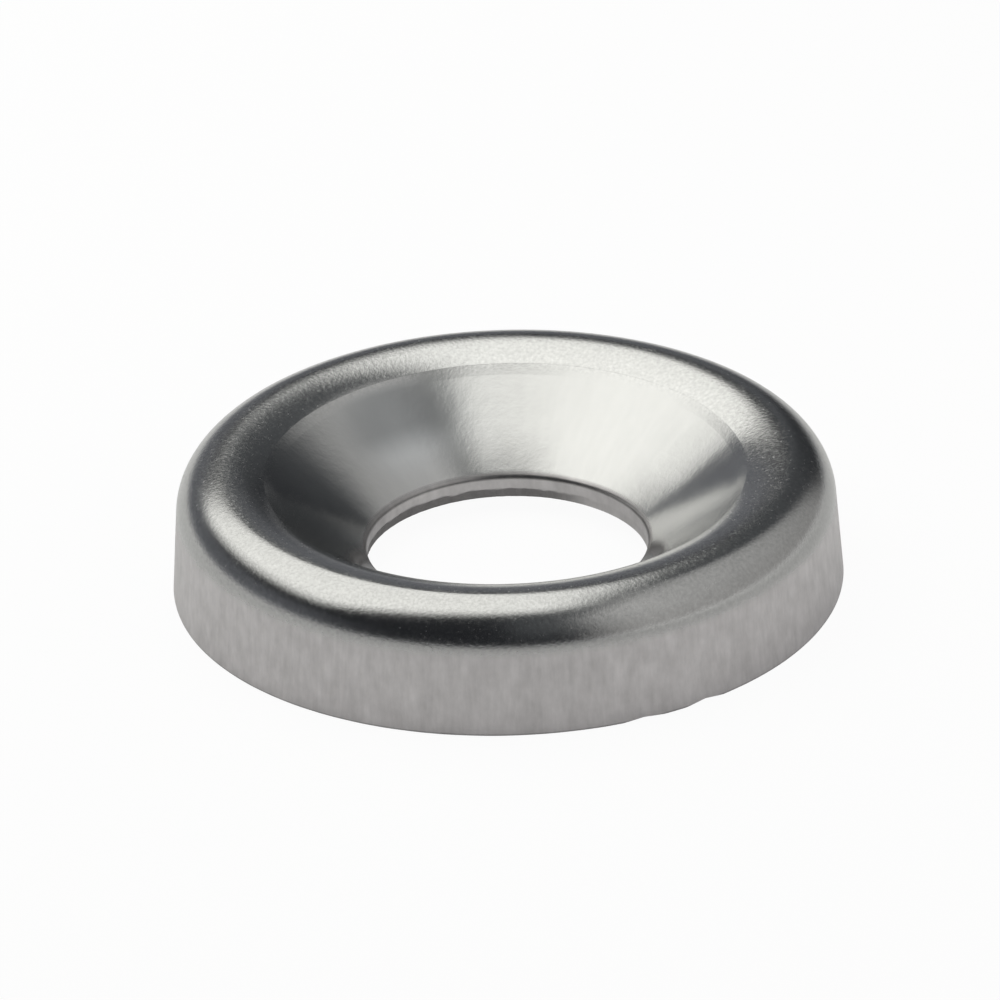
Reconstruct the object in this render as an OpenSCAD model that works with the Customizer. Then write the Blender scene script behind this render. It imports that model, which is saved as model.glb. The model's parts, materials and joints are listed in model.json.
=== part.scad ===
// Finishing cup washer, pressed in one piece from sheet.
// Millimetres, +Z up, the foot stands on Z = 0 and the bore runs along the Z axis.

/* [Sheet] */
// Thickness of the sheet that the washer is pressed from
sheet_t = 0.4; // [0.3:0.05:0.6]

/* [Bore] */
// Diameter of the bore that the screw passes through
bore_d = 6; // [4:0.1:8]
// Height of the bore's lower edge above the foot
bore_lift = 0.4; // [0.1:0.05:1.5]
// Radius that the punch rolled over the bore's upper edge
bore_edge_r = 0.08; // [0.02:0.01:0.15]

/* [Seat] */
// Diameter of the shoulder, where the rim ends and the seat begins
shoulder_d = 10.3; // [9.4:0.1:14]
// Included angle of the cone that takes the screw head
seat_angle = 106; // [90:1:120]
// Width of the coined band around the cone, seen from above
band_w = 0.22; // [0.1:0.01:0.4]
// Slope of the coined band
band_slope = 41; // [35:1:48]

/* [Rim] */
// Radius of the fall from the crest of the rim in to the shoulder
crest_r = 1.8; // [1.2:0.1:3]
// Angle that the rim turns through between the crest and the shoulder
crest_turn = 29; // [15:1:34]
// Outside radius of the roll from the crest over to the skirt
rim_r = 1; // [0.8:0.05:1.5]

/* [Skirt] */
// Lean of the skirt, which widens towards its foot
skirt_lean = 4; // [1:0.5:10]

/* [Trim nicks] */
// Directions of the nicks that the trimming left in the foot
nick_angles = [-55.6, -67.4]; // [-180:0.1:180]
// Depths of the nicks
nick_depths = [0.07, 0.05]; // [0.02:0.01:0.2]
// Width of each nick along the foot
nick_w = 0.95; // [0.4:0.05:2]

/* [Hidden] */
// Seat, worked up from the bore's lower edge
bore_r = bore_d / 2;
seat_slope = 90 - seat_angle / 2;
bore_top_z = bore_lift + sheet_t / cos(seat_slope);
shoulder_r = shoulder_d / 2;
band_r = shoulder_r - band_w;
band_z = bore_top_z + (band_r - bore_r) * tan(seat_slope);
shoulder_z = band_z + band_w * tan(band_slope);

// Crest of the rim, to the nearest micron, so that its two arcs meet on one tangent
crest_x = to_micron(shoulder_r + crest_r * sin(crest_turn));
height = to_micron(shoulder_z + crest_r * (1 - cos(crest_turn)));
rim_centre = [crest_x, height - rim_r];
crest_centre = [crest_x, height - crest_r];

// Skirt, tangent to the roll of the rim
foot_r = crest_x + rim_centre[1] * tan(skirt_lean) + rim_r / cos(skirt_lean);

// Room that cuts and fills run past the washer's faces
overrun = 1;
// Length by which a line runs into the arc that it is tangent to, so that the two cross
tuck = 0.0001;
$fn = 180;

function to_micron(length) = round(length * 1000) / 1000;

// Upward normal of a face that rises outwards at a slope
function face_normal(slope) = [-sin(slope), cos(slope)];

// Corner where the cone meets its band, moved down both faces' normals
function band_corner(inset) =
    let (cone = face_normal(seat_slope), band = face_normal(band_slope))
    [band_r, band_z] - inset * (cone + band) / (1 + cone * band);

// Plane wedge with its tip at a centre, which reaches out between two directions
module wedge(centre, reach, from, to) {
    polygon([
        centre,
        centre + reach * from,
        centre + reach * (from + to),
        centre + reach * to
    ]);
}

// Half section under the skirt and under the roll above it, from the crest outwards
module rim_form(inset) {
    radius = rim_r - inset;
    outwards = [cos(skirt_lean), sin(skirt_lean)];
    upwards = [-sin(skirt_lean), cos(skirt_lean)];
    tangent = rim_centre + (radius - tuck) * outwards;
    drop = (tangent[1] + overrun) / cos(skirt_lean);
    difference() {
        polygon([
            [crest_x, -overrun],
            tangent - drop * upwards,
            tangent + rim_r * upwards,
            [crest_x, height + overrun]
        ]);
        // Waste outside the roll
        difference() {
            wedge(rim_centre, 2 * rim_r + overrun, outwards, [0, 1]);
            translate(rim_centre) circle(radius);
        }
    }
}

// Half section under the fall of the rim and under the seat, from the crest inwards
module seat_form(inset) {
    corner = band_corner(inset);
    span = crest_x - corner[0];
    fill_z = corner[1] + band_w / 2 * tan(band_slope);
    top_z = height + overrun + span;
    difference() {
        intersection() {
            union() {
                translate(crest_centre) circle(crest_r - inset);
                translate([0, -overrun]) square([crest_x, fill_z + overrun]);
            }
            translate([0, -overrun]) square([crest_x, height + 2 * overrun]);
        }
        // Funnel above the cone and its band
        polygon([
            [-overrun, corner[1] - (corner[0] + overrun) * tan(seat_slope)],
            corner,
            corner + span * [1, tan(band_slope)],
            [crest_x, top_z],
            [-overrun, top_z]
        ]);
    }
}

// Solid of the outer faces, moved inwards by an inset
module pressed_form(inset) {
    rim_form(inset);
    seat_form(inset);
}

// Waste outside the small round along the bore's upper edge
module bore_edge_waste() {
    cone = face_normal(seat_slope);
    centre_x = bore_r + bore_edge_r;
    centre_z = bore_top_z + bore_edge_r * (tan(seat_slope) - 1 / cos(seat_slope));
    centre = [centre_x, centre_z];
    difference() {
        wedge(centre, overrun, cone, [-1, 0]);
        translate(centre) circle(bore_edge_r + tuck);
    }
}

// Section of the sheet on one side of the axis
module sheet_section() {
    difference() {
        pressed_form(0);
        pressed_form(sheet_t);
        translate([-overrun, -2 * overrun]) square([foot_r + 3 * overrun, 2 * overrun]);
        translate([-overrun, -overrun]) square([bore_r + overrun, height + 2 * overrun]);
        bore_edge_waste();
    }
}

// Shallow notches across the foot of the skirt
module trim_nicks() {
    for (i = [0 : len(nick_angles) - 1])
        rotate([90, 0, nick_angles[i] - 90])
            translate([0, 0, -foot_r - overrun])
                linear_extrude(sheet_t + 2 * overrun)
                    polygon([
                        [-nick_w, -nick_depths[i]],
                        [0, nick_depths[i]],
                        [nick_w, -nick_depths[i]]
                    ]);
}

module cup_washer() {
    color("silver")
        difference() {
            rotate_extrude() sheet_section();
            trim_nicks();
        }
}

cup_washer();
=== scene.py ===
import json
import math

import bpy
from mathutils import Matrix, Vector


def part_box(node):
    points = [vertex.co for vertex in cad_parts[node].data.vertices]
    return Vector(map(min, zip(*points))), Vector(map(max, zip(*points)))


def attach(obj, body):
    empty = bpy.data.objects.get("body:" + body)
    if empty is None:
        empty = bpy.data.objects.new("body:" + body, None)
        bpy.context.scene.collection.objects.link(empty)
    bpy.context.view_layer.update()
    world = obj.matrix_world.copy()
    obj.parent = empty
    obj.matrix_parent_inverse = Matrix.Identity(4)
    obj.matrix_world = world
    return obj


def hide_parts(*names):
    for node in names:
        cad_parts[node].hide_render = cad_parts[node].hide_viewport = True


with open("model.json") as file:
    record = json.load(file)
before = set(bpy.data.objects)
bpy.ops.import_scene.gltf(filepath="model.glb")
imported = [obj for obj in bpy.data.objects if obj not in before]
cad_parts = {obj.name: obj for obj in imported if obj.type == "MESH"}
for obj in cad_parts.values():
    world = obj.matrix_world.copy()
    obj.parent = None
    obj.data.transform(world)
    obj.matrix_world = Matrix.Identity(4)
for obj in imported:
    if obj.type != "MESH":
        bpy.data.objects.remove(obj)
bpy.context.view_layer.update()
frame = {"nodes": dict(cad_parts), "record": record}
mm = 0.001
print("frame loaded:", sorted(frame["nodes"]))


# node helpers, shared by the geometry tree and the shaders

def newNode(tree, kind, **options):
    node = tree.nodes.new(kind)
    for option, value in options.items():
        setattr(node, option, value)
    return node


def plug(tree, value, socket):  # a socket is linked, a number is set
    if isinstance(value, bpy.types.NodeSocket):
        tree.links.new(value, socket)
    else:
        socket.default_value = value


def mathOf(tree, operation, *values, clamp=False):
    node = newNode(tree, "ShaderNodeMath", operation=operation, use_clamp=clamp)
    for value, socket in zip(values, node.inputs):
        plug(tree, value, socket)
    return node.outputs["Value"]


def vectorOf(tree, operation, *values):
    node = newNode(tree, "ShaderNodeVectorMath", operation=operation)
    names = {"SCALE": ("Vector", "Scale")}.get(operation)
    sockets = [node.inputs[name] for name in names] if names else node.inputs
    for value, socket in zip(values, sockets):
        plug(tree, value, socket)
    scalar = operation in ("DOT_PRODUCT", "LENGTH", "DISTANCE")
    return node.outputs["Value" if scalar else "Vector"]


def rampOf(tree, value, start, end, low=0.0, high=1.0):  # soft step from start to end
    node = newNode(tree, "ShaderNodeMapRange", interpolation_type="SMOOTHSTEP")
    for socket, number in zip(node.inputs, (value, start, end, low, high)):
        plug(tree, number, socket)
    return node.outputs["Result"]


def noiseOf(tree, vector, scale, detail=2.0, rough=0.5, seed=0.0):
    node = newNode(tree, "ShaderNodeTexNoise", noise_dimensions="4D")
    plug(tree, vector, node.inputs["Vector"])
    for name, value in (("W", seed), ("Scale", scale), ("Detail", detail), ("Roughness", rough)):
        plug(tree, value, node.inputs[name])
    return node.outputs["Fac"]


def splitOf(tree, vector):
    node = newNode(tree, "ShaderNodeSeparateXYZ")
    plug(tree, vector, node.inputs[0])
    return node.outputs


def joinOf(tree, x, y, z):
    node = newNode(tree, "ShaderNodeCombineXYZ")
    for value, socket in zip((x, y, z), node.inputs):
        plug(tree, value, socket)
    return node.outputs[0]


# camera, at the photograph's height, roll and distance

view = {
    "elevation": 27.66,  # degrees above the floor
    "roll": -1.8,  # degrees
    "distance": 254.6 * mm,  # from the foot's centre
    "lens": 429.6,
    "sensor": 36.0,
    "aim": (-0.13 * mm, 0.0, 1.85 * mm),
    "clip": (10 * mm, 10.0),  # nearest and furthest that it sees
}


def makeCamera():
    rise = math.radians(view["elevation"])
    place = Vector((0, -math.cos(rise), math.sin(rise))) * view["distance"]
    look = (Vector(view["aim"]) - place).to_track_quat("-Z", "Y").to_matrix()
    turn = Matrix.Rotation(math.radians(view["roll"]), 3, "Z")
    data = bpy.data.cameras.new("viewCamera")
    data.sensor_width = view["sensor"]
    data.lens = view["lens"]
    data.clip_start, data.clip_end = view["clip"]
    camera = bpy.data.objects.new("viewCamera", data)
    camera.matrix_world = Matrix.Translation(place) @ (look @ turn).to_4x4()
    bpy.context.scene.collection.objects.link(camera)
    bpy.context.scene.camera = camera


# studio: a softbox close over the washer and a grey card at its right, dark between them
# edges are (direction in, reach, softness), in millimetres from the washer's foot
# in the sky they are parts of a direction of length 1

panels = {
    "softbox": {
        "place": (-35, 30, 60),
        "faces": (0.0, 0.0, -1.0),
        "size": (200, 220),
        "glow": 1.65,  # 1 is white
        "gain": (-0.0015, -0.001, 0.0),  # share that it brightens by, each millimetre
        "tint": (1.0, 0.998, 0.95, 1),
        "edges": [
            ((-1.0, -0.04, 0.0), -13.5, 8),  # right
            ((1.0, 0.15, 0.0), -75, 30),  # left
            ((-0.15, 1.0, 0.0), -14.5, 13),  # towards the camera
            ((-0.3, -1.0, 0.0), -89, 8),  # back
            ((-1.0, -0.3, 0.0), -26, 5),  # corner at the back right
        ],
    },
    "card": {
        "place": (30, -20, 55),
        "faces": (-1.0, 0.0, 0.0),
        "size": (130, 110),
        "glow": 0.47,
        "gain": (0.0, -0.009, 0.005),
        "tint": (1.0, 0.985, 0.95, 1),
        "edges": [
            ((0.0, -1.0, 0.0), -29.5, 10),  # back
            ((0.0, 1.0, 0.0), -50, 30),  # towards the camera
            ((0.0, 0.0, -1.0), -78, 28),  # top
        ],
    },
}

sky = {
    "gloom": (0.03, 0.032, 0.036),
    "patches": {  # strength, tint, edges
        "lowLeft": (0.15, (0.95, 0.98, 1.06), [
            ((-1.0, 0.0, 0.0), -0.13, 0.12),
            ((-0.42, 0.91, 0.0), 0.0, 0.5),
            ((0.0, 0.0, -1.0), -0.38, 0.1),
        ]),
        "horizon": (0.3, (1.0, 1.0, 1.0), [
            ((0.0, 0.0, -1.0), -0.06, 0.06),
        ]),
        "gap": (0.09, (0.93, 0.98, 1.0), [
            ((1.0, 0.0, 0.0), 0.0, 0.06),
            ((0.0, 0.0, 1.0), 0.4, 0.4),
        ]),
    },
}


def insideOf(tree, place, edges):  # 1 inside all edges, 0 outside any of them
    inside = 1.0
    for normal, reach, softness in edges:
        across = vectorOf(tree, "DOT_PRODUCT", place, normal)
        share = rampOf(tree, across, reach - softness, reach + softness)
        inside = mathOf(tree, "MULTIPLY", inside, share)
    return inside


def makePanel(name, panel):
    wide, tall = (length * mm for length in panel["size"])
    lamp = bpy.data.lights.new(name, "AREA")
    lamp.shape = "RECTANGLE"
    lamp.size, lamp.size_y = wide, tall
    lamp.energy = math.pi * wide * tall  # so that a glow of 1 is white
    lamp.use_nodes = True
    tree = lamp.node_tree
    tree.nodes.clear()
    position = newNode(tree, "ShaderNodeNewGeometry").outputs["Position"]
    place = vectorOf(tree, "SCALE", position, 1 / mm)
    gain = mathOf(tree, "ADD", vectorOf(tree, "DOT_PRODUCT", place, panel["gain"]), 1.0)
    level = mathOf(tree, "MULTIPLY", insideOf(tree, place, panel["edges"]), gain)
    light = newNode(tree, "ShaderNodeEmission")
    light.inputs["Color"].default_value = panel["tint"]
    plug(tree, mathOf(tree, "MULTIPLY", level, panel["glow"]), light.inputs["Strength"])
    plug(tree, light.outputs[0], newNode(tree, "ShaderNodeOutputLight").inputs["Surface"])
    board = bpy.data.objects.new(name, lamp)
    board.location = Vector(panel["place"]) * mm
    board.rotation_euler = Vector(panel["faces"]).to_track_quat("-Z", "Y").to_euler()
    board.visible_camera = False
    bpy.context.scene.collection.objects.link(board)


def makeSky():
    world = bpy.data.worlds.new("studio")
    bpy.context.scene.world = world
    world.use_nodes = True
    tree = world.node_tree
    tree.nodes.clear()
    direction = newNode(tree, "ShaderNodeTexCoord").outputs["Generated"]
    total = sky["gloom"]
    for strength, tint, edges in sky["patches"].values():
        level = mathOf(tree, "MULTIPLY", insideOf(tree, direction, edges), strength)
        total = vectorOf(tree, "ADD", total, vectorOf(tree, "SCALE", tint, level))
    light = newNode(tree, "ShaderNodeBackground")
    plug(tree, total, light.inputs["Color"])
    white = newNode(tree, "ShaderNodeBackground")
    white.inputs["Color"].default_value = (1, 1, 1, 1)
    mix = newNode(tree, "ShaderNodeMixShader")
    plug(tree, newNode(tree, "ShaderNodeLightPath").outputs["Is Camera Ray"], mix.inputs[0])
    plug(tree, light.outputs[0], mix.inputs[1])
    plug(tree, white.outputs[0], mix.inputs[2])
    plug(tree, mix.outputs[0], newNode(tree, "ShaderNodeOutputWorld").inputs["Surface"])


floorSizes = {
    "half": 2.0,  # metres each way
    "drop": 0.01 * mm,  # under the foot
    "colour": (0.92, 0.92, 0.92, 1),
    "lift": 0.95,  # share of plain white that the camera sees
    "shine": 0.2,  # the same in reflections
}


def makeFloor():
    half = floorSizes["half"]
    corners = [(-half, -half), (half, -half), (half, half), (-half, half)]
    mesh = bpy.data.meshes.new("studioFloor")
    mesh.from_pydata([(x, y, -floorSizes["drop"]) for x, y in corners], [], [(0, 1, 2, 3)])
    material = bpy.data.materials.new("paleFloor")
    material.use_nodes = True
    tree = material.node_tree
    tree.nodes.clear()
    matt = newNode(tree, "ShaderNodeBsdfDiffuse")
    matt.inputs["Color"].default_value = floorSizes["colour"]
    white = newNode(tree, "ShaderNodeEmission")
    path = newNode(tree, "ShaderNodeLightPath").outputs
    mirrored = mathOf(tree, "MAXIMUM", path["Is Glossy Ray"], path["Is Transmission Ray"])
    mirrored = mathOf(tree, "MULTIPLY", mirrored, floorSizes["shine"])
    seen = mathOf(tree, "MULTIPLY", path["Is Camera Ray"], floorSizes["lift"])
    seen = mathOf(tree, "MAXIMUM", seen, mirrored)
    mix = newNode(tree, "ShaderNodeMixShader")
    plug(tree, seen, mix.inputs[0])
    plug(tree, matt.outputs[0], mix.inputs[1])
    plug(tree, white.outputs[0], mix.inputs[2])
    plug(tree, mix.outputs[0], newNode(tree, "ShaderNodeOutputMaterial").inputs["Surface"])
    mesh.materials.append(material)
    floor = bpy.data.objects.new("studioFloor", mesh)
    bpy.context.scene.collection.objects.link(floor)


# washer: sizes in millimetres, as in the solid but for a softer band, bore edge and creases

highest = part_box("cup_washer")[1]
boreMount = next(m for m in frame["record"]["mounts"] if m["name"] == "screw_bore")

washer = {
    "footRadius": highest.x / mm,
    "height": highest.z / mm,
    "boreRadius": boreMount["dims"]["r_mm"],
    "sheet": 0.4,
    "boreLift": 0.4,
    "boreEdge": 0.13,
    "shoulderRadius": 5.15,
    "seatSlope": 37,  # degrees
    "bandWidth": 0.22,
    "bandSlope": 39,  # degrees
    "crestRadius": 1.8,
    "crestTurn": 29,  # degrees
    "rimRadius": 1.0,
    "skirtLean": 4,  # degrees
    "crease": 0.05,  # radius of the two creases around the seat
    "edgeBreak": 0.03,  # radius of the trimmed edges
    "roundShare": 0.999,  # of its room that a round takes up, so that it meets no other
}


def mitre(corner, before, after, inset):  # corner moved in by the sheet, square to both faces
    first = (corner - before).normalized()
    second = (after - corner).normalized()
    firstIn = Vector((-first.y, first.x))
    secondIn = Vector((-second.y, second.x))
    return corner + inset * (firstIn + secondIn) / (1 + firstIn.dot(secondIn))


def sectionCorners(s):  # (radius, height), round, steps of the round
    seat, band, turn, lean = (
        math.radians(s[k]) for k in ("seatSlope", "bandSlope", "crestTurn", "skirtLean")
    )
    boreTop = s["boreLift"] + s["sheet"] / math.cos(seat)
    bandRadius = s["shoulderRadius"] - s["bandWidth"]
    bandHeight = boreTop + (bandRadius - s["boreRadius"]) * math.tan(seat)
    shoulderHeight = bandHeight + s["bandWidth"] * math.tan(band)
    crest = s["shoulderRadius"] + s["crestRadius"] * math.sin(turn)
    outer = [Vector(p) for p in (
        (s["footRadius"], 0.0),
        (s["footRadius"] - s["height"] * math.tan(lean), s["height"]),
        (crest - s["crestRadius"] * math.tan(turn / 2), s["height"]),
        (s["shoulderRadius"], shoulderHeight),
        (bandRadius, bandHeight),
        (s["boreRadius"], boreTop),
    )]
    inner = [mitre(outer[i], outer[i - 1], outer[i + 1], s["sheet"]) for i in range(1, 5)]
    innerFoot = Vector((s["footRadius"] - s["sheet"] / math.cos(lean), 0.0))
    boreFoot = Vector((s["boreRadius"], s["boreLift"]))
    crestRoom = (outer[2] - outer[3]).length - s["crease"] * math.tan((band - turn) / 2)
    underRoom = (inner[1] - inner[2]).length
    half = math.tan(turn / 2)
    return [
        (outer[0], s["edgeBreak"], 3),
        (outer[1], s["rimRadius"], 28),
        (outer[2], crestRoom / half * s["roundShare"], 18),
        (outer[3], s["crease"], 4),
        (outer[4], s["crease"], 2),
        (outer[5], s["boreEdge"], 6),
        (boreFoot, s["edgeBreak"] / 2, 2),
        (inner[3], s["crease"], 2),
        (inner[2], 0.0, 1),
        (inner[1], underRoom / half * s["roundShare"], 12),
        (inner[0], s["rimRadius"] - s["sheet"], 14),
        (innerFoot, s["edgeBreak"], 3),
    ]


def makeSection():  # closed outline in the XZ plane, with its rounds as point values
    corners = sectionCorners(washer)
    count = len(corners)
    mesh = bpy.data.meshes.new("washerSection")
    points = [(p.x * mm, 0.0, p.y * mm) for p, _, _ in corners]
    mesh.from_pydata(points, [(i, (i + 1) % count) for i in range(count)], [])
    rounds = mesh.attributes.new("round", "FLOAT", "POINT")
    steps = mesh.attributes.new("steps", "INT", "POINT")
    for i, (_, size, number) in enumerate(corners):
        rounds.data[i].value = size * mm
        steps.data[i].value = number
    section = bpy.data.objects.new("washerSection", mesh)
    bpy.context.scene.collection.objects.link(section)
    return section


pressing = {
    "Around": 480,  # faces round the axis
    "Step": 0.13 * mm,  # longest face along the section
    "Fine Step": 0.035 * mm,  # the same inside the bore
    "Weld": 0.0005 * mm,  # distance at which the seam's points are merged
    "Hard Bend": math.radians(20),  # edges that turn more than this stay hard
    "Bore Radius": washer["boreRadius"] * mm,
    "Bore Slack": 0.02 * mm,  # how far past the bore the fine step holds
    "Bore Lift": washer["boreLift"] * mm,
    "Foot Radius": washer["footRadius"] * mm,
    "Nick Width": 0.95 * mm,
    "Nick Angle A": math.radians(-55.6),
    "Nick Depth A": 0.07 * mm,
    "Nick Angle B": math.radians(-67.4),
    "Nick Depth B": 0.05 * mm,
    "Trim Wave": 0.012 * mm,  # unevenness of the foot's trimmed edge
    "Trim Rate": 9.0,
    "Droop": 0.045 * mm,  # how far the punch drew the sheet down at the bore
    "Droop Reach": 0.9 * mm,
    "Tear Height": 0.24 * mm,  # torn part of the bore's wall
    "Tear Wave": 0.14 * mm,  # unevenness of its upper line
    "Tear Rate": 6.0,
    "Tear Fade": 0.05 * mm,
    "Tear Depth": 0.03 * mm,
    "Tear Least": 0.2,  # share of it at the right
    "Tear Right": 2.2 * mm,
    "Tear Left": 0.6 * mm,  # full from here
    "Bite Rate": 7.0 / mm,
    "Bite Least": 0.3,
    "Wall Start": 0.06 * mm,  # distance from the bore at which its wall begins, and is full
    "Wall Full": 0.01 * mm,
    "Ripple": 0.004 * mm,  # unevenness that the press left in the sheet
    "Ripple Rate": 0.9 / mm,
    "Seed": 7.0,
}


def addInputs(tree, values):
    tree.interface.new_socket("Geometry", in_out="INPUT", socket_type="NodeSocketGeometry")
    for name, value in values.items():
        kind = "NodeSocketInt" if isinstance(value, int) else "NodeSocketFloat"
        tree.interface.new_socket(name, in_out="INPUT", socket_type=kind)
    tree.interface.new_socket("Finish", in_out="INPUT", socket_type="NodeSocketMaterial")
    tree.interface.new_socket("Geometry", in_out="OUTPUT", socket_type="NodeSocketGeometry")


def namedValue(tree, name, kind):
    node = newNode(tree, "GeometryNodeInputNamedAttribute", data_type=kind)
    node.inputs["Name"].default_value = name
    return node.outputs["Attribute"]


def cutsPerFace(tree, sizes, position):  # cuts that keep each stretch under its step
    following = newNode(tree, "GeometryNodeOffsetPointInCurve")
    following.inputs["Offset"].default_value = 1
    nextPlace = newNode(tree, "GeometryNodeFieldAtIndex", data_type="FLOAT_VECTOR", domain="POINT")
    plug(tree, following.outputs["Point Index"], nextPlace.inputs["Index"])
    plug(tree, position, nextPlace.inputs["Value"])
    length = vectorOf(tree, "DISTANCE", position, nextPlace.outputs["Value"])
    nearBore = mathOf(tree, "ADD", sizes["Bore Radius"], sizes["Bore Slack"])
    inBore = mathOf(tree, "LESS_THAN", splitOf(tree, position)["X"], nearBore)
    spare = mathOf(tree, "SUBTRACT", sizes["Fine Step"], sizes["Step"])
    step = mathOf(tree, "MULTIPLY_ADD", inBore, spare, sizes["Step"])
    return mathOf(tree, "FLOOR", mathOf(tree, "DIVIDE", length, step))


def nickLift(tree, sizes, angle, letter):  # V notch in the foot, by distance along it
    turn = mathOf(tree, "SUBTRACT", angle, sizes["Nick Angle " + letter])
    along = mathOf(tree, "ABSOLUTE", mathOf(tree, "MULTIPLY", turn, sizes["Foot Radius"]))
    share = mathOf(tree, "DIVIDE", mathOf(tree, "MULTIPLY", along, 2.0), sizes["Nick Width"])
    rise = mathOf(tree, "SUBTRACT", 1.0, share, clamp=True)
    return mathOf(tree, "MULTIPLY", rise, sizes["Nick Depth " + letter])


def makePressTree():
    tree = bpy.data.node_groups.new("pressedWasher", "GeometryNodeTree")
    addInputs(tree, pressing)
    sizes = newNode(tree, "NodeGroupInput").outputs
    position = newNode(tree, "GeometryNodeInputPosition").outputs["Position"]

    # outline with its rounds, cut fine enough for what follows
    outline = newNode(tree, "GeometryNodeMeshToCurve")
    plug(tree, sizes["Geometry"], outline.inputs["Mesh"])
    rounded = newNode(tree, "GeometryNodeFilletCurve", mode="POLY")
    plug(tree, outline.outputs["Curve"], rounded.inputs["Curve"])
    plug(tree, namedValue(tree, "steps", "INT"), rounded.inputs["Count"])
    plug(tree, namedValue(tree, "round", "FLOAT"), rounded.inputs["Radius"])
    cut = newNode(tree, "GeometryNodeSubdivideCurve")
    plug(tree, rounded.outputs["Curve"], cut.inputs["Curve"])
    plug(tree, cutsPerFace(tree, sizes, position), cut.inputs["Cuts"])

    # revolve round the bore's axis: the section's X runs out from the guide circle and its Y down
    place = splitOf(tree, position)
    guide = newNode(tree, "GeometryNodeCurvePrimitiveCircle")
    plug(tree, sizes["Around"], guide.inputs["Resolution"])
    plug(tree, sizes["Foot Radius"], guide.inputs["Radius"])
    upright = newNode(tree, "GeometryNodeSetPosition")
    plug(tree, cut.outputs["Curve"], upright.inputs["Geometry"])
    outwards = mathOf(tree, "SUBTRACT", place["X"], sizes["Foot Radius"])
    downwards = mathOf(tree, "MULTIPLY", place["Z"], -1.0)
    plug(tree, joinOf(tree, outwards, downwards, 0.0), upright.inputs["Position"])
    revolved = newNode(tree, "GeometryNodeCurveToMesh")
    plug(tree, guide.outputs["Curve"], revolved.inputs["Curve"])
    plug(tree, upright.outputs["Geometry"], revolved.inputs["Profile Curve"])
    outward = newNode(tree, "GeometryNodeFlipFaces")
    plug(tree, revolved.outputs["Mesh"], outward.inputs["Mesh"])
    welded = newNode(tree, "GeometryNodeMergeByDistance")
    plug(tree, outward.outputs["Mesh"], welded.inputs["Geometry"])
    plug(tree, sizes["Weld"], welded.inputs["Distance"])

    # trimmed foot: two nicks and a slight wave, gone at the height of the bore's lower edge
    flat = vectorOf(tree, "MULTIPLY", position, (1.0, 1.0, 0.0))
    radius = vectorOf(tree, "LENGTH", flat)
    radial = vectorOf(tree, "NORMALIZE", flat)
    angle = mathOf(tree, "ARCTAN2", place["Y"], place["X"])
    nicks = mathOf(tree, "ADD", nickLift(tree, sizes, angle, "A"), nickLift(tree, sizes, angle, "B"))
    wave = noiseOf(tree, radial, sizes["Trim Rate"], detail=3.0, rough=0.6, seed=sizes["Seed"])
    wave = mathOf(tree, "MULTIPLY", wave, sizes["Trim Wave"])
    risen = mathOf(tree, "DIVIDE", place["Z"], sizes["Bore Lift"])
    nearFoot = mathOf(tree, "SUBTRACT", 1.0, risen, clamp=True)
    lift = mathOf(tree, "MULTIPLY", mathOf(tree, "ADD", nicks, wave), nearFoot)

    # the sheet droops towards the bore
    fromBore = mathOf(tree, "SUBTRACT", radius, sizes["Bore Radius"])
    gone = mathOf(tree, "DIVIDE", fromBore, sizes["Droop Reach"])
    near = mathOf(tree, "SUBTRACT", 1.0, gone, clamp=True)
    droop = mathOf(tree, "MULTIPLY", mathOf(tree, "MULTIPLY", near, near), sizes["Droop"])
    lift = mathOf(tree, "SUBTRACT", lift, droop)

    # sheared bore: the lower wall is torn back to a wavy line, least at the right
    wavy = noiseOf(tree, radial, sizes["Tear Rate"], seed=sizes["Seed"])
    wavy = mathOf(tree, "SUBTRACT", wavy, 0.5)
    tearTop = mathOf(tree, "MULTIPLY_ADD", wavy, sizes["Tear Wave"], sizes["Bore Lift"])
    tearTop = mathOf(tree, "ADD", tearTop, sizes["Tear Height"])
    torn = rampOf(tree, mathOf(tree, "SUBTRACT", tearTop, place["Z"]), 0.0, sizes["Tear Fade"])
    inBore = rampOf(tree, fromBore, sizes["Wall Start"], sizes["Wall Full"])
    torn = mathOf(tree, "MULTIPLY", torn, inBore)
    leftwards = rampOf(tree, place["X"], sizes["Tear Right"], sizes["Tear Left"], sizes["Tear Least"])
    torn = mathOf(tree, "MULTIPLY", torn, leftwards)
    bite = noiseOf(tree, position, sizes["Bite Rate"], rough=0.6, seed=sizes["Seed"])
    bite = mathOf(tree, "ADD", bite, sizes["Bite Least"])
    bite = mathOf(tree, "MULTIPLY", mathOf(tree, "MULTIPLY", torn, bite), sizes["Tear Depth"])
    tear = vectorOf(tree, "SCALE", radial, bite)
    marked = newNode(tree, "GeometryNodeStoreNamedAttribute", data_type="FLOAT", domain="POINT")
    marked.inputs["Name"].default_value = "torn"
    plug(tree, welded.outputs["Geometry"], marked.inputs["Geometry"])
    plug(tree, torn, marked.inputs["Value"])

    # a slow ripple along the surface's own normal
    normal = newNode(tree, "GeometryNodeInputNormal").outputs["Normal"]
    swell = noiseOf(tree, position, sizes["Ripple Rate"], seed=sizes["Seed"])
    swell = mathOf(tree, "SUBTRACT", swell, 0.5)
    ripple = vectorOf(tree, "SCALE", normal, mathOf(tree, "MULTIPLY", swell, sizes["Ripple"]))
    shaped = newNode(tree, "GeometryNodeSetPosition")
    plug(tree, marked.outputs["Geometry"], shaped.inputs["Geometry"])
    moved = vectorOf(tree, "ADD", joinOf(tree, 0.0, 0.0, lift), tear)
    moved = vectorOf(tree, "ADD", moved, ripple)
    plug(tree, moved, shaped.inputs["Offset"])

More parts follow.
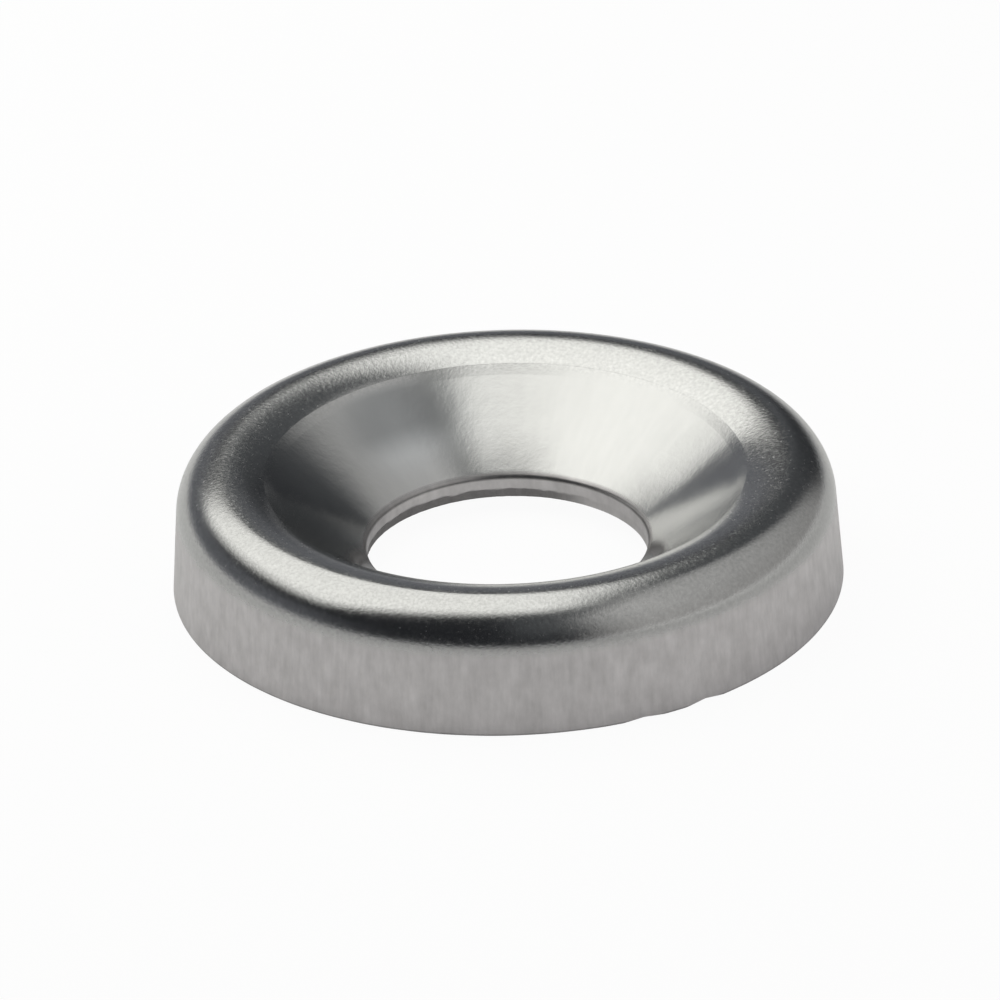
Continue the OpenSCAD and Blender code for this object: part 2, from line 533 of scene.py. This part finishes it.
    # smooth faces, hard only at the trimmed edges
    smooth = newNode(tree, "GeometryNodeSetShadeSmooth", domain="FACE")
    plug(tree, shaped.outputs["Geometry"], smooth.inputs["Geometry"])
    bend = newNode(tree, "GeometryNodeInputMeshEdgeAngle").outputs["Unsigned Angle"]
    hard = newNode(tree, "GeometryNodeSetShadeSmooth", domain="EDGE")
    plug(tree, smooth.outputs["Geometry"], hard.inputs["Geometry"])
    plug(tree, mathOf(tree, "GREATER_THAN", bend, sizes["Hard Bend"]), hard.inputs["Selection"])
    hard.inputs["Shade Smooth"].default_value = False
    real = newNode(tree, "GeometryNodeRealizeInstances")
    plug(tree, hard.outputs["Geometry"], real.inputs["Geometry"])
    finished = newNode(tree, "GeometryNodeSetMaterial")
    plug(tree, real.outputs["Geometry"], finished.inputs["Geometry"])
    plug(tree, sizes["Finish"], finished.inputs["Material"])
    plug(tree, finished.outputs["Geometry"], newNode(tree, "NodeGroupOutput").inputs["Geometry"])
    return tree


def makeWasher(finish):
    section = makeSection()
    tree = makePressTree()
    modifier = section.modifiers.new("press", "NODES")
    modifier.node_group = tree
    sockets = {i.name: i.identifier for i in tree.interface.items_tree if i.in_out == "INPUT"}
    for name, value in pressing.items():
        modifier[sockets[name]] = value
    modifier[sockets["Finish"]] = finish
    section.update_tag()
    bpy.context.view_layer.update()
    graph = bpy.context.evaluated_depsgraph_get()
    mesh = bpy.data.meshes.new_from_object(section.evaluated_get(graph), depsgraph=graph)
    section.modifiers.remove(modifier)
    bpy.data.objects.remove(section)
    for name in ("round", "steps"):
        if name in mesh.attributes:
            mesh.attributes.remove(mesh.attributes[name])
    mesh.name = "pressedWasher"
    piece = bpy.data.objects.new("pressedWasher", mesh)
    bpy.context.scene.collection.objects.link(piece)
    print("washer:", sum(len(p.vertices) - 2 for p in mesh.polygons), "triangles")
    return piece


# finish: stainless sheet, drawn on the skirt, grained on the rim, satin in the seat, torn in the bore

steel = {
    "colour": (0.45, 0.45, 0.447),
    "tint": (0.006, -0.008, -0.002),  # added on the skirt and in the bore
    "paintedReflectionTint": (-0.012, 0.0, 0.012),  # added on the painted reflection patch in the seat
    # shades that the colour is multiplied by
    "skirtShade": 1.26,
    "rimShade": 0.95,
    "seatShade": 1.1,
    "boreShade": 1.05,
    "paintedLipLineShade": 0.7,  # painted dark reflection along the rolled upper edge of the bore
    "tearShade": 0.45,
    "paintedContactShade": 0.6,  # painted shade along the foot's trimmed edge, next to the floor
    "paintedReflectionShade": (1.18, 0.68),  # painted reflection patch in the seat, its lower and its upper half
    "paintedReflectionPlace": (-2.3, 3.7, 1.9),  # millimetres
    "paintedReflectionReach": (2.0, 0.3),  # distance at which it begins, and is full
    # how far each texture moves the shade
    "streakShade": 0.5,
    "scoreShade": 0.8,
    "mottleShade": 0.65,
    "speckShade": 0.5,
    "brushShade": 0.12,
    "patchShade": 0.14,
    # roughness, and how far textures move it
    "roughSkirt": 0.36,
    "roughRim": 0.18,
    "roughSeat": 0.18,
    "roughBore": 0.32,
    "roughTear": 0.5,
    "roughSpeck": 0.1,
    "roughPatch": 0.08,
    "roughStreak": 0.2,
    # depths of the relief
    "grain": 0.003 * mm,  # on the rim
    "seatGrain": 0.0012 * mm,
    "seatSwell": 0.004 * mm,
    "streak": 0.0012 * mm,  # draw lines on the skirt
    "tearGrain": 0.015 * mm,
}

zones = {  # where each finish, painted shade and painted reflection begins and is full, in millimetres from the axis or above the foot
    "skirtHeight": (2.0, 1.7),
    "skirtRadius": (6.4, 6.6),
    "crestRadius": (6.3, 5.9),
    "seatRadius": (5.2, 4.9),
    "paintedReflectionRadius": (3.6, 4.3),
    "boreRadius": (3.12, 3.05),
    "lipHeight": (0.77, 0.82),
    "edgeHeight": (0.07, 0.02),
}

noises = {  # features for each millimetre along X, Y and Z, detail, roughness, seed
    "lines": ((8.0, 8.0, 1.2), 3.0, 0.6, 1.0),
    "grain": ((13.0, 13.0, 13.0), 2.0, 0.6, 26.0),
    "cloud": ((0.8, 0.8, 0.8), 3.0, 0.6, 2.4),
    "brush": ((14.0, 14.0, 1.0), 3.0, 0.6, 4.0),  # in the direction from the axis, and the radius
    "blotch": ((2.6, 2.6, 1.8), 3.0, 0.6, 5.0),
    "dots": ((12.0, 12.0, 12.0), 2.0, 0.6, 72.0),
}
dotLevels = (0.45, 0.75)  # noise at which a speck begins, and is full


def textureOf(tree, place, name):
    stretch, detail, rough, seed = noises[name]
    return noiseOf(tree, vectorOf(tree, "MULTIPLY", place, stretch), 1.0, detail, rough, seed)


def swingOf(tree, texture, zone):  # a texture about zero, inside a zone
    return mathOf(tree, "MULTIPLY", mathOf(tree, "SUBTRACT", texture, 0.5), zone)


def makeSteel():
    material = bpy.data.materials.new("stainlessSheet")
    material.use_nodes = True
    tree = material.node_tree
    tree.nodes.clear()
    shader = newNode(tree, "ShaderNodeBsdfPrincipled")
    shader.inputs["Metallic"].default_value = 1.0
    plug(tree, shader.outputs[0], newNode(tree, "ShaderNodeOutputMaterial").inputs["Surface"])
    object3d = newNode(tree, "ShaderNodeTexCoord").outputs["Object"]
    place = vectorOf(tree, "SCALE", object3d, 1 / mm)  # millimetres from here on
    height = splitOf(tree, place)["Z"]
    flat = vectorOf(tree, "MULTIPLY", place, (1.0, 1.0, 0.0))
    radius = vectorOf(tree, "LENGTH", flat)
    torn = newNode(tree, "ShaderNodeAttribute", attribute_name="torn").outputs["Fac"]

    # zones
    low = rampOf(tree, height, *zones["skirtHeight"])
    onSkirt = mathOf(tree, "MULTIPLY", low, rampOf(tree, radius, *zones["skirtRadius"]))
    onSeat = rampOf(tree, radius, *zones["seatRadius"])
    offSkirt = mathOf(tree, "SUBTRACT", 1.0, onSkirt)
    onRim = mathOf(tree, "MULTIPLY", offSkirt, mathOf(tree, "SUBTRACT", 1.0, onSeat))
    inCrest = rampOf(tree, radius, *zones["crestRadius"])
    onBore = rampOf(tree, radius, *zones["boreRadius"])
    # painted dark reflection along the bore's upper edge
    paintedLipLine = mathOf(tree, "MULTIPLY", onBore, rampOf(tree, height, *zones["lipHeight"]))
    # painted shade along the foot's lowest edge, where it meets the floor
    paintedContactZone = rampOf(tree, height, *zones["edgeHeight"])
    # painted reflection patch in the seat, lighter below and darker above
    paintedReflection = vectorOf(tree, "DISTANCE", place, steel["paintedReflectionPlace"])
    paintedReflection = mathOf(tree, "MULTIPLY", rampOf(tree, paintedReflection, *steel["paintedReflectionReach"]), onSeat)

    # textures
    grain = textureOf(tree, place, "grain")
    blotch = textureOf(tree, place, "blotch")
    outwards = splitOf(tree, vectorOf(tree, "NORMALIZE", flat))
    brush = textureOf(tree, joinOf(tree, outwards["X"], outwards["Y"], radius), "brush")
    streak = swingOf(tree, textureOf(tree, place, "lines"), onSkirt)
    mottle = swingOf(tree, blotch, onSkirt)
    scored = swingOf(tree, blotch, onBore)
    brushed = swingOf(tree, brush, onSeat)
    speck = swingOf(tree, grain, onRim)
    patch = mathOf(tree, "SUBTRACT", textureOf(tree, place, "cloud"), 0.5)
    dots = rampOf(tree, textureOf(tree, place, "dots"), *dotLevels)
    dots = mathOf(tree, "MULTIPLY", dots, onRim)

    # colour, with painted shade and painted reflections in it
    rimShade = steel["rimShade"]
    shade = mathOf(tree, "MULTIPLY_ADD", onSkirt, steel["skirtShade"] - rimShade, rimShade)
    shade = mathOf(tree, "MULTIPLY_ADD", inCrest, steel["seatShade"] - rimShade, shade)
    swings = [
        (streak, "streakShade"), (scored, "scoreShade"), (mottle, "mottleShade"),
        (speck, "speckShade"), (brushed, "brushShade"), (patch, "patchShade"),
    ]
    for swing, share in swings:
        shade = mathOf(tree, "MULTIPLY_ADD", swing, steel[share], shade)
    # painted reflection: lighter in the patch's lower half, darker in its upper half
    paintedReflectionLevel = rampOf(tree, radius, *zones["paintedReflectionRadius"], *steel["paintedReflectionShade"])
    factors = [
        (paintedReflection, paintedReflectionLevel), (onBore, steel["boreShade"]), (paintedLipLine, steel["paintedLipLineShade"]),
        (torn, steel["tearShade"]), (paintedContactZone, steel["paintedContactShade"]),
    ]
    for zone, factor in factors:
        shade = mathOf(tree, "MULTIPLY", shade, rampOf(tree, zone, 0.0, 1.0, 1.0, factor))
    warm = vectorOf(tree, "SCALE", steel["tint"], mathOf(tree, "ADD", onSkirt, onBore))
    # cool tint of the painted reflection patch
    tone = vectorOf(tree, "ADD", warm, vectorOf(tree, "SCALE", steel["paintedReflectionTint"], paintedReflection))
    tone = vectorOf(tree, "ADD", tone, steel["colour"])
    plug(tree, vectorOf(tree, "SCALE", tone, shade), shader.inputs["Base Color"])

    # roughness
    rough = steel["roughRim"]
    changes = [
        (onSkirt, steel["roughSkirt"] - steel["roughRim"]),
        (onSeat, steel["roughSeat"] - steel["roughRim"]),
        (onBore, steel["roughBore"] - steel["roughSeat"]),
        (torn, steel["roughTear"] - steel["roughBore"]),
        (dots, steel["roughSpeck"]),
        (patch, steel["roughPatch"]),
        (streak, steel["roughStreak"]),
    ]
    for zone, change in changes:
        rough = mathOf(tree, "MULTIPLY_ADD", zone, change, rough)
    plug(tree, rough, shader.inputs["Roughness"])

    # relief
    seatGrain = steel["seatGrain"]
    depth = mathOf(tree, "MULTIPLY_ADD", onRim, steel["grain"] - seatGrain, seatGrain)
    depth = mathOf(tree, "MULTIPLY_ADD", torn, steel["tearGrain"], depth)
    relief = mathOf(tree, "MULTIPLY", grain, depth)
    relief = mathOf(tree, "MULTIPLY_ADD", streak, steel["streak"], relief)
    swell = mathOf(tree, "MULTIPLY", blotch, onSeat)
    relief = mathOf(tree, "MULTIPLY_ADD", swell, steel["seatSwell"], relief)
    bump = newNode(tree, "ShaderNodeBump")
    bump.inputs["Strength"].default_value = 1.0
    bump.inputs["Distance"].default_value = 1.0
    plug(tree, relief, bump.inputs["Height"])
    plug(tree, bump.outputs["Normal"], shader.inputs["Normal"])
    print("finish ready")
    return material


makeCamera()
for name, panel in panels.items():
    makePanel(name, panel)
makeSky()
makeFloor()
print("studio ready")
piece = makeWasher(makeSteel())
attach(piece, "root")
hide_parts("cup_washer")
bpy.context.scene.view_settings.view_transform = "Standard"

bpy.context.view_layer.update()
